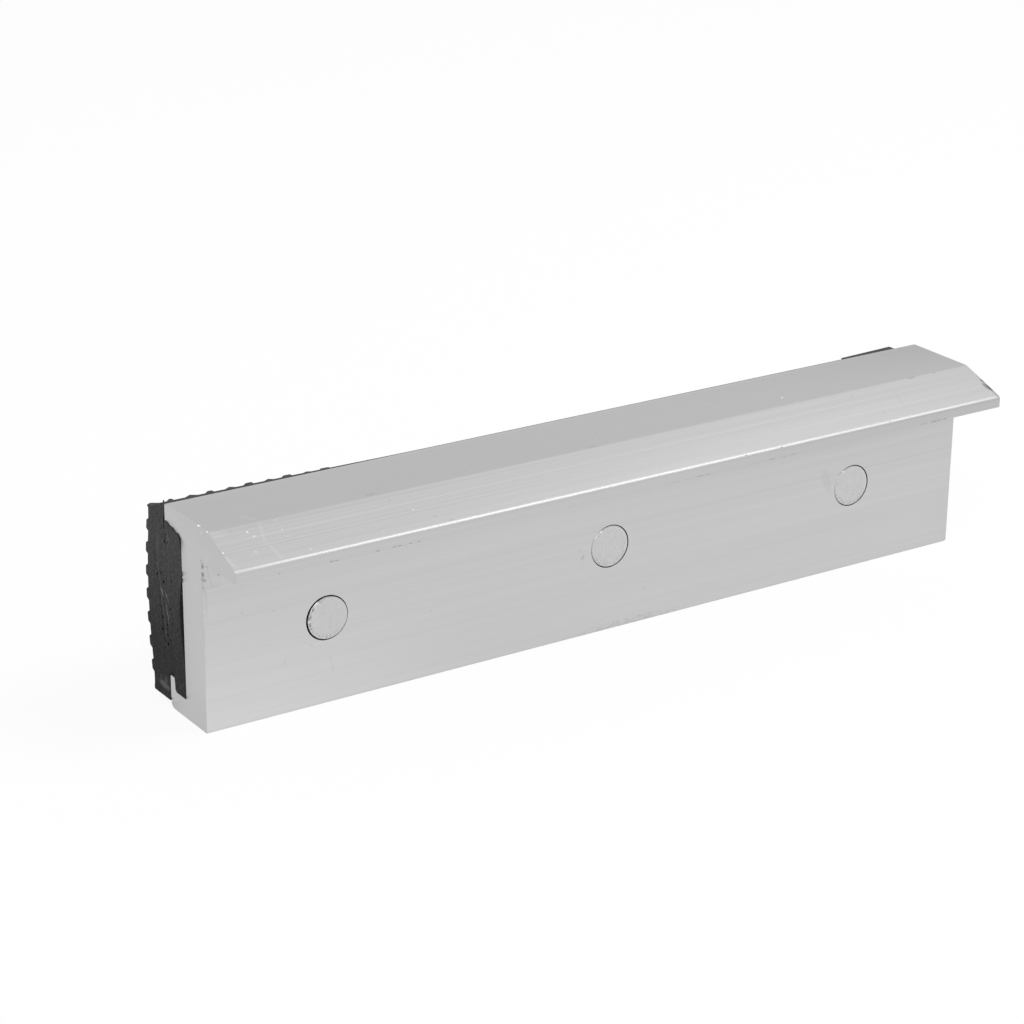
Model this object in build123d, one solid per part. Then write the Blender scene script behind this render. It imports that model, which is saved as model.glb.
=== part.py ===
import os
from math import atan, cos, degrees, hypot, radians, sin

from build123d import *

# Magnetic soft jaw for a bench vice: a moulded rubber strip keyed into an aluminium extrusion.
# X runs along the jaw, Y from the vice towards the workpiece and Z up. All sizes are in mm.
# The section is drawn from its own corner: y = 0 is the back face, z = 0 is the bottom.

# Aluminium extrusion
jaw_length = 150.0
jaw_height = 34.0
wall = 6.6                  # between the back face and the rubber's channel
body_depth = 11.8           # from the back face to the side that the rubber lies on
bottom_bar = 3.2
top_bar = 3.8
lower_lip_height = 2.3
lower_lip_thickness = 1.5
upper_lip_height = 2.6
upper_lip_root = 1.1
upper_lip_tip = 0.7

# Flange that rests on top of the vice's own jaw
flange_reach = 10.6
flange_seat_height = 28.4
flange_tip_thickness = 2.1
flat_overhang = 2.3         # how far the flat top runs out over the flange before it slopes

# Rounded edges of the extrusion
edge_round = 0.25
tip_round = 0.7
crest_round = 1.2
bottom_round = 1.1
channel_round = 0.3
lip_round = 0.3

# Rubber strip
pad_thickness = 4.7         # from the lips' outer side to the floor of the grip pattern
pad_bottom = 1.0            # height of the strip's underside
pad_drop = 1.5              # how far its flat top lies below the jaw's top
crease_setback = 1.2        # from the grip pattern's floor back to where the top starts to fall
top_fall = 0.45             # per mm from there to the gripping face
pad_crease_round = 0.6
ledge_length = 12.5         # the stretch at the moulded end whose top stays flat
moulded_end_round = 1.0
moulded_back_round = 0.5
moulded_end_inset = 0.3
rim = 0.4                   # plain border between the studs and the moulded end
key_clearance = 0.12        # round the key in its channel
key_round = 0.3

# The rubber's sawn end, sprung out of line
bow_length = 16.0
bow_out = 1.5               # how far the strip stands out there along its edges
bulge = 0.9                 # and how much further at half its height
bulge_height = 28.0
bulge_centre_height = 17.0
hollow_depth = 1.1          # how far the key stands off its channel
hollow_height = 15.0
hollow_centre_height = 16.0

# Diamond studs of the grip pattern
stud_pitch = 3.42           # across the grooves
stud_height = 0.67
stud_root = 0.3             # how deep a stud reaches into the strip
groove_floor = 0.95
flank_run = 0.3
groove_angle = 30.0         # between the grooves and the jaw's length
first_stud_inset = 2.0      # from the moulded end to the first column's centre
first_stud_height = 31.0    # of the top row's centre

# Disc magnets set into the back face: each one's place along the jaw, its height and its hole's depth
magnet_diameter = 7.3
magnet_thickness = 4.0
magnet_clearance = 0.2
magnet_chamfer = 0.15
magnet_holes = {
    "magnet_left": (-53.8, 14.3, 4.3),
    "magnet_centre": (-0.1, 14.7, 4.1),
    "magnet_right": (51.5, 15.1, 4.1),
}

# Heights and depths that follow from the sizes above
channel_top = jaw_height - top_bar
lower_lip_top = bottom_bar + lower_lip_height
upper_lip_bottom = channel_top - upper_lip_height
pattern_y = body_depth + pad_thickness
face_y = pattern_y + stud_height
pad_top = jaw_height - pad_drop
crease_y = pattern_y - crease_setback
moulded_end_x = jaw_length / 2 - moulded_end_inset
sawn_end_x = -jaw_length / 2
bow_start_x = sawn_end_x + bow_length
bulge_radius = ((bulge_height / 2) ** 2 + bulge**2) / (2 * bulge)
# The part's own frame has its origin under the middle of the whole jaw
centre_y = (face_y + bow_out + bulge - flange_reach) / 2


def section(points, radii):
    """A closed section in the YZ plane, from its corners and the radius of each."""
    return make_face(Plane.YZ * FilletPolyline(*points, radius=radii, close=True))


def along_jaw(profile, start_x, end_x):
    """The profile drawn at x = 0, run along the jaw from one x to the other."""
    return extrude(Pos(start_x, 0, 0) * profile, amount=end_x - start_x, dir=(1, 0, 0))


def extrusion_section():
    """The aluminium's section: wall, flange, top and bottom bars, and the lips round the channel."""
    corners = {
        (0, 0): edge_round,
        (body_depth, 0): bottom_round,
        (body_depth, lower_lip_top): lip_round,
        (body_depth - lower_lip_thickness, lower_lip_top): lip_round,
        (body_depth - lower_lip_thickness, bottom_bar): channel_round,
        (wall, bottom_bar): channel_round,
        (wall, channel_top): channel_round,
        (body_depth - upper_lip_root, channel_top): channel_round,
        (body_depth - upper_lip_tip, upper_lip_bottom): upper_lip_tip / 3,
        (body_depth, upper_lip_bottom): upper_lip_tip / 3,
        (body_depth, jaw_height): edge_round,
        (-flat_overhang, jaw_height): crest_round,
        (-flange_reach, flange_seat_height + flange_tip_thickness): tip_round,
        (-flange_reach, flange_seat_height): edge_round,
        (0, flange_seat_height): channel_round,
    }
    return section(list(corners), list(corners.values()))


def jaw_body():
    """The extrusion cut to length, with a blind hole for each magnet."""
    body = along_jaw(extrusion_section(), -jaw_length / 2, jaw_length / 2)
    hole_radius = magnet_diameter / 2 + magnet_clearance
    for x, z, depth in magnet_holes.values():
        body -= Pos(x, 0, z) * facing_disc(hole_radius, 0, depth)
    return body


def facing_disc(radius, front_y, back_y):
    """A disc on the Y axis, between two depths behind the back face."""
    return Pos(0, front_y, 0) * extrude(Plane.XZ * Circle(radius), amount=back_y - front_y, dir=(0, 1, 0))


def magnet(x, z, hole_depth):
    """A disc magnet seated on the floor of its hole, with its outer rim chamfered."""
    disc = Pos(x, 0, z) * facing_disc(magnet_diameter / 2, hole_depth - magnet_thickness, hole_depth)
    return chamfer(disc.edges().group_by(Axis.Y)[0], magnet_chamfer)


def barrel(radius, crest_start, crest_end):
    """A long cylinder whose highest line runs through two points, each given as x, y and z."""
    run = crest_end[0] - crest_start[0]
    tilt = degrees(atan((crest_end[1] - crest_start[1]) / run))
    return Pos(*crest_end) * Rot(0, 0, tilt) * Pos(0, -radius, 0) * extrude(
        Plane.YZ * Circle(radius), amount=3 * bow_length, both=True
    )


def pad_key():
    """The rubber in the channel and between the lips, sprung off the wall at the sawn end."""
    lower_inside = body_depth - lower_lip_thickness - key_clearance
    upper_inside = body_depth - upper_lip_root - key_clearance
    neck_inside = body_depth - upper_lip_tip - key_clearance
    corners = [
        (wall, bottom_bar + key_clearance),
        (lower_inside, bottom_bar + key_clearance),
        (lower_inside, lower_lip_top + key_clearance),
        (pattern_y - pad_thickness / 2, lower_lip_top + key_clearance),
        (pattern_y - pad_thickness / 2, upper_lip_bottom - key_clearance),
        (neck_inside, upper_lip_bottom - key_clearance),
        (upper_inside, channel_top - key_clearance),
        (wall, channel_top - key_clearance),
    ]
    key = along_jaw(section(corners, [key_round] * len(corners)), sawn_end_x, moulded_end_x)
    radius = ((hollow_height / 2) ** 2 + hollow_depth**2) / (2 * hollow_depth)
    hollow = barrel(
        radius,
        (bow_start_x, wall, hollow_centre_height),
        (sawn_end_x, wall + hollow_depth, hollow_centre_height),
    )
    return key - hollow


def pad_section(front_y, flat_top=False):
    """The strip's section outside the channel, with its front at the given depth."""
    fall = 0 if flat_top else top_fall
    corners = {
        (body_depth, pad_bottom): key_round,
        (front_y, pad_bottom): 0,
        (front_y, pad_top - fall * (front_y - crease_y)): 0,
        (crease_y, pad_top): 0 if flat_top else pad_crease_round,
        (body_depth, pad_top): 0,
    }
    return section(list(corners), list(corners.values()))


def leaning_end(profile):
    """The profile run from where the strip starts to bow to its sawn end, moving outward."""
    return extrude(
        Pos(bow_start_x, 0, 0) * profile, amount=hypot(bow_length, bow_out), dir=(-bow_length, bow_out, 0)
    )


def pad_form(front_y):
    """The strip outside the channel, straight and then bowed out, with its front at the given depth."""
    straight = along_jaw(pad_section(front_y), sawn_end_x, moulded_end_x)
    fullest = barrel(
        bulge_radius,
        (bow_start_x, front_y, bulge_centre_height),
        (sawn_end_x, front_y + bow_out + bulge, bulge_centre_height),
    )
    return straight + leaning_end(pad_section(front_y)) + (leaning_end(pad_section(front_y + bulge)) & fullest)


def slab():
    """The strip up to the grip pattern's floor, rounded by the mould at one end."""
    ledge = along_jaw(pad_section(pattern_y, flat_top=True), moulded_end_x - ledge_length, moulded_end_x)
    seen_from_front = FilletPolyline(
        (sawn_end_x, pad_bottom),
        (moulded_end_x, pad_bottom),
        (moulded_end_x, pad_top),
        (sawn_end_x, pad_top),
        radius=[0, moulded_end_round, moulded_end_round, 0],
        close=True,
    )
    seen_from_above = FilletPolyline(
        (sawn_end_x, body_depth),
        (moulded_end_x, body_depth),
        (moulded_end_x, 2 * face_y),
        (sawn_end_x, 2 * face_y),
        radius=[0, moulded_back_round, 0, 0],
        close=True,
    )
    front_form = extrude(make_face(Plane.XZ * seen_from_front), amount=2 * face_y, dir=(0, 1, 0))
    top_form = extrude(make_face(seen_from_above), amount=jaw_height, dir=(0, 0, 1))
    return (pad_form(pattern_y) + ledge) & front_form & top_form


def diamond_stud():
    """One stud on the groove floor: what two crossing ridges with sloping flanks have in common."""
    half_base = (stud_pitch - groove_floor) / 2
    half_crest = half_base - flank_run
    ridge_section = Polygon(
        (-half_base, -stud_root),
        (half_base, -stud_root),
        (half_base, 0),
        (half_crest, stud_height),
        (-half_crest, stud_height),
        (-half_base, 0),
        align=None,
    )
    ridge = extrude(ridge_section, amount=2 * stud_pitch, both=True)
    from_upright = 90 - groove_angle
    return (Rot(0, from_upright, 0) * ridge) & (Rot(0, -from_upright, 0) * ridge)


def bowed_place(x, z):
    """Where a stud stands on the groove floor, turned with it where the strip bows out."""
    share = (bow_start_x - x) / bow_length
    if share <= 0:
        return Pos(x, pattern_y, z)
    along_edges = bow_out * share
    along_bulge = (bow_out + bulge) * share - (z - bulge_centre_height) ** 2 / (2 * bulge_radius)
    rise = max(along_edges, along_bulge)
    steepest = bow_out if along_edges > along_bulge else bow_out + bulge
    return Pos(x, pattern_y + rise, z) * Rot(0, 0, -degrees(atan(steepest / bow_length)))


def stud_field(outer):
    """Two interleaved grids of studs, those at the strip's edges cut off along the outer form."""
    step_x = stud_pitch / sin(radians(groove_angle))
    step_z = stud_pitch / cos(radians(groove_angle))
    first_x = moulded_end_x - first_stud_inset
    columns = int((first_x - sawn_end_x) / step_x) + 2
    rows = int((first_stud_height - pad_bottom) / step_z) + 2
    stud = diamond_stud()
    limit = outer.bounding_box()
    studs = []
    for shift in (0, 0.5):
        for column in range(columns):
            for row in range(rows):
                x = first_x - (column - shift) * step_x
                z = first_stud_height - (row - shift) * step_z
                studs += trimmed(bowed_place(x, z) * stud, outer, limit)
    return studs


def trimmed(stud, outer, limit):
    """The stud whole where it is clear of the outer form's edges, and otherwise what they leave of it."""
    box = stud.bounding_box()
    clear_of_ends = limit.min.X < box.min.X and box.max.X < limit.max.X
    highest = pad_top - top_fall * (face_y - crease_y)
    clear_of_edges = pad_bottom < box.min.Z and box.max.Z < highest
    if clear_of_ends and clear_of_edges:
        return [stud]
    return (stud & outer).solids()


def rubber_pad():
    """The whole moulded strip: body, key and studs in one piece."""
    beyond_rim = Pos(moulded_end_x - rim, 0, 0) * Box(
        jaw_length, 4 * face_y, 4 * jaw_height, align=(Align.MIN, Align.CENTER, Align.CENTER)
    )
    return slab() + pad_key() + stud_field(pad_form(face_y) - beyond_rim)


os.makedirs("parts", exist_ok=True)
pieces = {"jaw_body": jaw_body(), "rubber_pad": rubber_pad()}
for name, place in magnet_holes.items():
    pieces[name] = magnet(*place)
for name, piece in pieces.items():
    export_step(Pos(0, -centre_y, 0) * piece, f"parts/{name}.step")
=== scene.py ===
import math

import bpy
from mathutils import Matrix, Vector, noise


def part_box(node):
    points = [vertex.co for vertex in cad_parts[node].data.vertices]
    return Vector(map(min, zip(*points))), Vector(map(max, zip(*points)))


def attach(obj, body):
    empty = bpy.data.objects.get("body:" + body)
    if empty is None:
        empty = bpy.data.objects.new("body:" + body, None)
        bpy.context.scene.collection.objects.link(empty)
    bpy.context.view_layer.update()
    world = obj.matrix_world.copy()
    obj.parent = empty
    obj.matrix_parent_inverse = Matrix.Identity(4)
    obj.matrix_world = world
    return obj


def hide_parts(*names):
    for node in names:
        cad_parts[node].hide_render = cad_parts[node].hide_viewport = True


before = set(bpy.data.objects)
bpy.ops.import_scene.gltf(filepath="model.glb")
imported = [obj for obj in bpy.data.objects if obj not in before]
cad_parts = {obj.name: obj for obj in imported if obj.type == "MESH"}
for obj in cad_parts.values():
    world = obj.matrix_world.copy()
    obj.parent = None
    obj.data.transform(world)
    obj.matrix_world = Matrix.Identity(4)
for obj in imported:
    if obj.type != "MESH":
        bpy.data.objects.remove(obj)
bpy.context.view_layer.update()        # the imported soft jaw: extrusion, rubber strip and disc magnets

mm = 0.001
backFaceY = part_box("magnet_centre")[0].y - 0.1 * mm    # the magnets sit a little below the back face


# Selecting and editing

def ready(piece):
    if bpy.context.object and bpy.context.object.mode != "OBJECT":
        bpy.ops.object.mode_set(mode="OBJECT")
    bpy.ops.object.select_all(action="DESELECT")
    piece.hide_set(False)
    piece.select_set(True)
    bpy.context.view_layer.objects.active = piece
    return piece


def edit(piece):
    ready(piece)
    bpy.ops.object.mode_set(mode="EDIT")
    bpy.ops.mesh.select_all(action="SELECT")


def leave(piece):
    bpy.ops.object.mode_set(mode="OBJECT")
    piece.select_set(False)


def copyOfNode(node, name):
    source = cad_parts[node]
    piece = bpy.data.objects.new(name, source.data.copy())
    bpy.context.scene.collection.objects.link(piece)
    piece.data.materials.clear()
    edit(piece)
    bpy.ops.mesh.customdata_custom_splitnormals_clear()
    bpy.ops.mesh.remove_doubles(threshold=0.002 * mm)
    bpy.ops.mesh.dissolve_limited(angle_limit=math.radians(0.3))
    leave(piece)
    return piece


def modify(piece, kind, **settings):
    ready(piece)
    modifier = piece.modifiers.new(kind.title(), kind)
    for key, value in settings.items():
        setattr(modifier, key, value)
    bpy.ops.object.modifier_apply(modifier=modifier.name)
    piece.select_set(False)
    return piece


def join(name, pieces):
    ready(pieces[0])
    for other in pieces[1:]:
        other.select_set(True)
    bpy.ops.object.join()
    pieces[0].name = name
    pieces[0].data.name = name
    pieces[0].select_set(False)
    return pieces[0]


def smooth(piece, degrees):
    ready(piece)
    bpy.ops.object.shade_smooth_by_angle(angle=math.radians(degrees))
    piece.select_set(False)


# how near a plane a vertex counts as lying in it; the tool's own value is a tenth of a millimetre
bisectReach = 0.001 * mm


def cut(piece, point, outward):
    # cuts off everything beyond a plane and closes the cut
    edit(piece)
    bpy.ops.mesh.bisect(
        plane_co=point, plane_no=outward, use_fill=True, clear_outer=True, threshold=bisectReach,
    )
    leave(piece)


def choose(piece, test):
    # opens the piece for editing with only the faces chosen whose centre and normal pass the test
    ready(piece)
    bpy.ops.object.mode_set(mode="EDIT")
    bpy.ops.mesh.select_mode(type="FACE")
    bpy.ops.mesh.select_all(action="DESELECT")
    bpy.ops.object.mode_set(mode="OBJECT")
    for face in piece.data.polygons:
        face.select = test(face.center / mm, face.normal)
    bpy.ops.object.mode_set(mode="EDIT")


def stretchOut(piece, test, moves):
    # draws the chosen faces out again and again, one ring of new faces for each move in millimetres
    choose(piece, test)
    for move in moves:
        bpy.ops.mesh.extrude_region_move(TRANSFORM_OT_translate={"value": [v * mm for v in move]})
    leave(piece)


def nudge(piece, move):
    # moves each vertex by what the function gives for its place, both in millimetres
    for vertex in piece.data.vertices:
        vertex.co += Vector(move(*(vertex.co / mm))) * mm
    piece.data.update()


def plate(name, outline, thickness):
    # a flat piece from the corners of its outline, extruded by the thickness, both in millimetres
    bpy.ops.mesh.primitive_circle_add(vertices=len(outline), radius=mm, fill_type="NGON")
    piece = bpy.context.object
    piece.name = name
    for vertex, corner in zip(piece.data.vertices, outline):
        vertex.co = Vector(corner) * mm
    edit(piece)
    bpy.ops.mesh.extrude_region_move(TRANSFORM_OT_translate={"value": [v * mm for v in thickness]})
    bpy.ops.mesh.select_all(action="SELECT")
    bpy.ops.mesh.normals_make_consistent(inside=False)
    leave(piece)
    return piece


def paint(piece, material, test):
    # gives the faces that pass the test a material of their own
    if material.name not in piece.data.materials:
        piece.data.materials.append(material)
    slot = piece.data.materials.find(material.name)
    for face in piece.data.polygons:
        if test(face.center / mm, face.normal):
            face.material_index = slot


# Shader maths

class Value:
    # one output of a node, so that sums on shader values read as sums
    def __init__(self, shader, output):
        self.shader, self.output = shader, output

    def maths(self, operation, *others):
        return self.shader.node("ShaderNodeMath", {"operation": operation}, dict(enumerate([self, *others])))

    def __add__(self, other):
        return self.maths("ADD", other)

    def __sub__(self, other):
        return self.maths("SUBTRACT", other)

    def __mul__(self, other):
        return self.maths("MULTIPLY", other)

    def __rsub__(self, other):
        return self.shader.node("ShaderNodeMath", {"operation": "SUBTRACT"}, {0: other, 1: self})

    __radd__ = __add__
    __rmul__ = __mul__

    def above(self, edge, softness):
        # 0 below the edge, 1 above it, with a soft step between
        wanted = {"interpolation_type": "SMOOTHSTEP"}
        low, high = edge - softness / 2, edge + softness / 2
        return self.shader.node("ShaderNodeMapRange", wanted, {"Value": self, 1: low, 2: high})

    def below(self, edge, softness):
        return 1 - self.above(edge, softness)


class Shader:
    def __init__(self, owner, ending="ShaderNodeOutputMaterial", space="Object"):
        self.owner = owner                # a material, or the world
        owner.use_nodes = True
        self.tree = owner.node_tree
        self.tree.nodes.clear()
        self.surface = self.tree.nodes.new(ending).inputs["Surface"]
        self.place = self.node("ShaderNodeTexCoord", {}, {}, space)

    def node(self, kind, settings, sockets, output=0):
        new = self.tree.nodes.new(kind)
        stops = settings.pop("stops", None)
        for key, value in settings.items():
            setattr(new, key, value)
        if stops:
            ramp = new.color_ramp.elements
            while len(ramp) > 1:
                ramp.remove(ramp[-1])
            ramp[0].position = stops[0][0]
            for element, (position, level) in zip([ramp[0]] + [ramp.new(p) for p, level in stops[1:]], stops):
                element.color = (level, level, level, 1)
        for key, value in sockets.items():
            if isinstance(value, Value):
                self.tree.links.new(value.output, new.inputs[key])
            else:
                new.inputs[key].default_value = value
        return Value(self, new.outputs[output])

    def stretched(self, scale, turn=(0, 0, 0), centre=(0, 0, 0)):
        # object coordinates in millimetres, stretched or squeezed along each axis
        settings = {"vector_type": "TEXTURE"}
        return self.node("ShaderNodeMapping", settings, {
            "Vector": self.place,
            "Location": [c * mm for c in centre],
            "Rotation": [math.radians(t) for t in turn],
            "Scale": [s * mm for s in scale],
        })

    def clouds(self, size, detail=2.0, turn=(0, 0, 0)):
        # soft noise whose blotches are about this many millimetres along each axis
        return self.node("ShaderNodeTexNoise", {"noise_dimensions": "3D"}, {
            "Vector": self.stretched(size, turn), "Scale": 1.0, "Detail": detail,
        })

    def cells(self, size, centre=(0, 0, 0)):
        # how far a point lies from the nearest of many scattered places
        return self.node("ShaderNodeTexVoronoi", {"feature": "F1"}, {
            "Vector": self.stretched(size, (0, 0, 0), centre), "Scale": 1.0,
        }, "Distance")

    def ellipse(self, centre, size, turn=(0, 0, 0)):
        # how far a point lies from a place, as a share of the size along each axis
        fromCentre = self.stretched(size, turn, centre)
        return self.node("ShaderNodeVectorMath", {"operation": "LENGTH"}, {0: fromCentre}, "Value")

    def marks(self, places, softness=0.7):
        # the strongest of several marks at each point: place, size, turn in degrees and strength
        found = 0
        for centre, size, turn, strength in places:
            mark = self.ellipse(centre, size, turn).below(1.0, softness) * strength
            found = found.maths("MAXIMUM", mark) if found else mark
        return found

    def profile(self, value, low, high, lines, ground=0.5):
        # even ground along a coordinate with soft lines on it, each given as place, reach and level
        stops = [(0.0, ground)]
        for place, reach, level in sorted(lines):
            stops += [((p - low) / (high - low), g) for p, g in
                      ((place - reach, ground), (place, level), (place + reach, ground))]
        share = (value - low) * (1 / (high - low))
        return self.node("ShaderNodeValToRGB", {"stops": stops}, {"Fac": share}) - ground

    def axis(self, letter):
        # one object coordinate, in millimetres
        return self.node("ShaderNodeSeparateXYZ", {}, {0: self.place}, letter) * 1000.0

    def facing(self, letter):
        normal = self.node("ShaderNodeTexCoord", {}, {}, "Normal")
        return self.node("ShaderNodeSeparateXYZ", {}, {0: normal}, letter)

    def bump(self, height, depth):
        # height runs from 0 to 1, depth in millimetres
        return self.node("ShaderNodeBump", {}, {"Height": height, "Strength": 1.0, "Distance": depth * mm})

    def finish(self, colour, roughness, normal=None, metal=0.0, **fixed):
        sockets = {"Base Color": colour, "Roughness": roughness, "Metallic": metal}
        if normal:
            sockets["Normal"] = normal
        for key, value in fixed.items():
            sockets[key] = value
        return self.show(self.node("ShaderNodeBsdfPrincipled", {}, sockets))

    def show(self, result):
        self.tree.links.new(result.output, self.surface)
        return self.owner

    def seenDirectly(self):
        # 1 for what the camera sees, also in a reflection or through glass
        rays = self.tree.nodes.new("ShaderNodeLightPath")
        camera, glossy, through = (
            Value(self, rays.outputs[f"Is {kind} Ray"]) for kind in ("Camera", "Glossy", "Transmission")
        )
        return camera.maths("MAXIMUM", glossy.maths("MAXIMUM", through))


def newShader(name):
    return Shader(bpy.data.materials.new(name))


def grey(value):
    return (value, value, value)


# Camera, floor and light

cameraView = {
    "place": (-257.031, -360.396, 190.176),   # millimetres in the row frame
    "yaw": 33.751, "pitch": 21.103, "roll": 0.527,
    "focalPixels": 2865.43, "imagePixels": 1024, "sensorWidth": 36.0,
}


def addCamera(view):
    yaw, pitch, roll = (math.radians(view[k]) for k in ("yaw", "pitch", "roll"))
    ahead = Vector((math.cos(pitch) * math.sin(yaw), math.cos(pitch) * math.cos(yaw), -math.sin(pitch)))
    level = Vector((math.cos(yaw), -math.sin(yaw), 0))
    upright = level.cross(ahead)
    right = math.cos(roll) * level + math.sin(roll) * upright
    up = -math.sin(roll) * level + math.cos(roll) * upright
    bpy.ops.object.camera_add(location=Vector(view["place"]) * mm)
    camera = bpy.context.object
    camera.name = "camera"
    turned = Matrix((right, up, -ahead)).transposed().to_4x4()
    camera.matrix_world = Matrix.Translation(camera.location) @ turned
    camera.data.sensor_width = view["sensorWidth"]
    camera.data.lens = view["focalPixels"] / view["imagePixels"] * view["sensorWidth"]
    camera.data.clip_start = 0.01
    bpy.context.scene.camera = camera


studio = {
    "ambient": 0.62,           # what the world gives to matt surfaces
    "backWall": 0.79,          # the brightness low down behind the part, which its flat top mirrors
    "floorSize": 12.0,
    "floorWhite": 0.95,
    "floorGlow": 0.9,          # how much of the floor's look is plain white, the rest takes the shadow
    "lamps": {
        # name: (place in metres, size in metres, power in watts)
        "keySoftbox": ((-0.9, -1.1, 1.2), 0.9, 9.0),
        "overheadSoftbox": ((0.64, -0.42, 0.86), 0.45, 5.0),
    },
}


def addWorld(look):
    bpy.context.scene.world = bpy.data.worlds.new("studio")
    shader = Shader(bpy.context.scene.world, "ShaderNodeOutputWorld", "Generated")
    behind = shader.node("ShaderNodeSeparateXYZ", {}, {0: shader.place}, "Y").above(0.5, 0.4)
    white = 1 - behind * (1 - look["backWall"])
    soft = shader.node("ShaderNodeBackground", {}, {"Color": (1, 1, 1, 1), "Strength": look["ambient"]})
    shown = shader.node("ShaderNodeBackground", {}, {"Color": (1, 1, 1, 1), "Strength": white})
    shader.show(shader.node("ShaderNodeMixShader", {}, {0: shader.seenDirectly(), 1: soft, 2: shown}))


def addFloor(look):
    bpy.ops.mesh.primitive_plane_add(size=look["floorSize"], location=(0, 0, 0))
    floor = bpy.context.object
    floor.name = "floor"
    shader = newShader("paleFloor")
    matt = shader.node("ShaderNodeBsdfDiffuse", {}, {"Color": grey(look["floorWhite"]) + (1,)})
    glow = shader.node("ShaderNodeEmission", {}, {"Color": (1, 1, 1, 1), "Strength": 1.0})
    share = shader.seenDirectly() * look["floorGlow"]
    mixed = shader.node("ShaderNodeMixShader", {}, {0: share, 1: matt, 2: glow})
    floor.data.materials.append(shader.show(mixed))
    floor.select_set(False)


def addLamps(look):
    for name, (place, size, power) in look["lamps"].items():
        bpy.ops.object.light_add(type="AREA", location=place)
        lamp = bpy.context.object
        lamp.name = name
        lamp.data.size = size
        lamp.data.energy = power
        lamp.rotation_euler = (-Vector(place)).to_track_quat("-Z", "Y").to_euler()
        lamp.select_set(False)


bpy.context.scene.view_settings.view_transform = "Standard"
addCamera(cameraView)
addWorld(studio)
addFloor(studio)
addLamps(studio)
print("studio ready")


# Aluminium extrusion

def fromBack(depth):
    # a depth behind the aluminium's back face, as a y in millimetres
    return backFaceY / mm + depth


extrusion = {
    # depths from the back face and heights above the bottom, in millimetres
    "crest": (-2.3, 34.0), "tip": (-10.6, 30.5), "halfLength": 75.0,
    "sawnBevel": 0.07, "tipSag": 0.12, "tipBeyond": 0.5, "crestShort": 0.2, "cornerOff": 0.2,
}
slopeFall = (extrusion["crest"][1] - extrusion["tip"][1]) / (extrusion["crest"][0] - extrusion["tip"][0])


def onSlope(x, depth):
    return (x, fromBack(depth), extrusion["crest"][1] + (depth - extrusion["crest"][0]) * slopeFall)


def onWall(x, z):
    return (x, fromBack(0), z)


def onTop(x, depth):
    return (x, fromBack(depth), extrusion["crest"][1])


def onTip(x, z):
    return (x, fromBack(extrusion["tip"][0]), z)


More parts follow.
